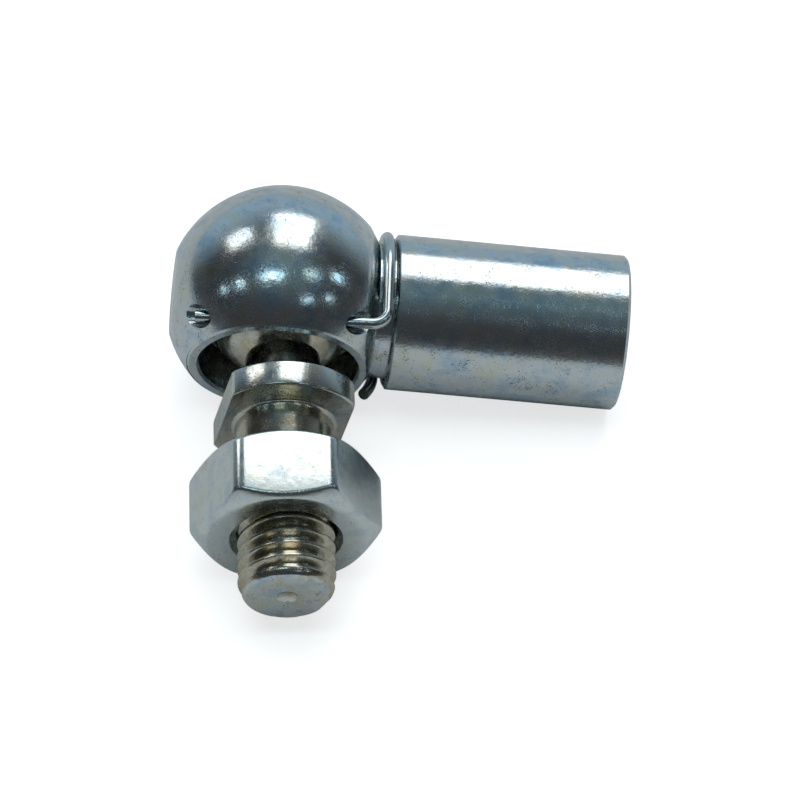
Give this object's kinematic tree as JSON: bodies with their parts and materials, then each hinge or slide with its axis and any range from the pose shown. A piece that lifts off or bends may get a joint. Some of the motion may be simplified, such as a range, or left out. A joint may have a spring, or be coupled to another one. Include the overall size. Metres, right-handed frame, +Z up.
{
  "type": "angle ball joint",
  "caption": "Angle ball joint: a ball stud with a collar and hex nut swings in a round head on a threaded cylindrical shank, kept by a wire safety clip.",
  "frame": {"origin": "on the resting surface, under the middle of the whole joint's bounding box", "axes": "+Z up as the joint lies on its side; +X level, along the shank towards its threaded end; the stud points to -Y; shank and stud both slope down a few degrees to where they rest"},
  "size_m": [0.0474, 0.0472, 0.024],
  "materials": {
    "socket_zinc": "blue passivated zinc plate on turned steel",
    "spring_steel": "bare spring steel wire, lightly oiled",
    "clip_zinc": "bright zinc-plated spring wire",
    "stud_zinc": "blue passivated zinc plate on turned and thread-rolled steel",
    "nut_zinc": "blue passivated zinc plate on pressed steel"
  },
  "bodies": {
    "socket": {"socket": "socket_zinc", "safety_clip": "clip_zinc"},
    "snap_ring": {"snap_ring": "spring_steel"},
    "ball_stud": {"ball_stud": "stud_zinc"},
    "hex_nut": {"hex_nut": "nut_zinc"}
  },
  "joints": [
    {"name": "stud_turn", "type": "hinge", "parent": "socket", "child": "snap_ring", "pos_m": [-0.01208, 0.01161, 0.012], "axis": [-0.0258, -0.9752, -0.2198], "continuous": true},
    {"name": "stud_swing", "type": "hinge", "parent": "snap_ring", "child": "ball_stud", "pos_m": [-0.01208, 0.01161, 0.012], "axis": [-0.8209, -0.1048, 0.5614], "range_deg": [-24.59, 11.41]},
    {"name": "nut_turn", "type": "hinge", "parent": "ball_stud", "child": "hex_nut", "pos_m": [-0.01111, -0.01263, 0.0089], "axis": [0.0398, -0.9911, -0.1269], "continuous": true}
  ]
}
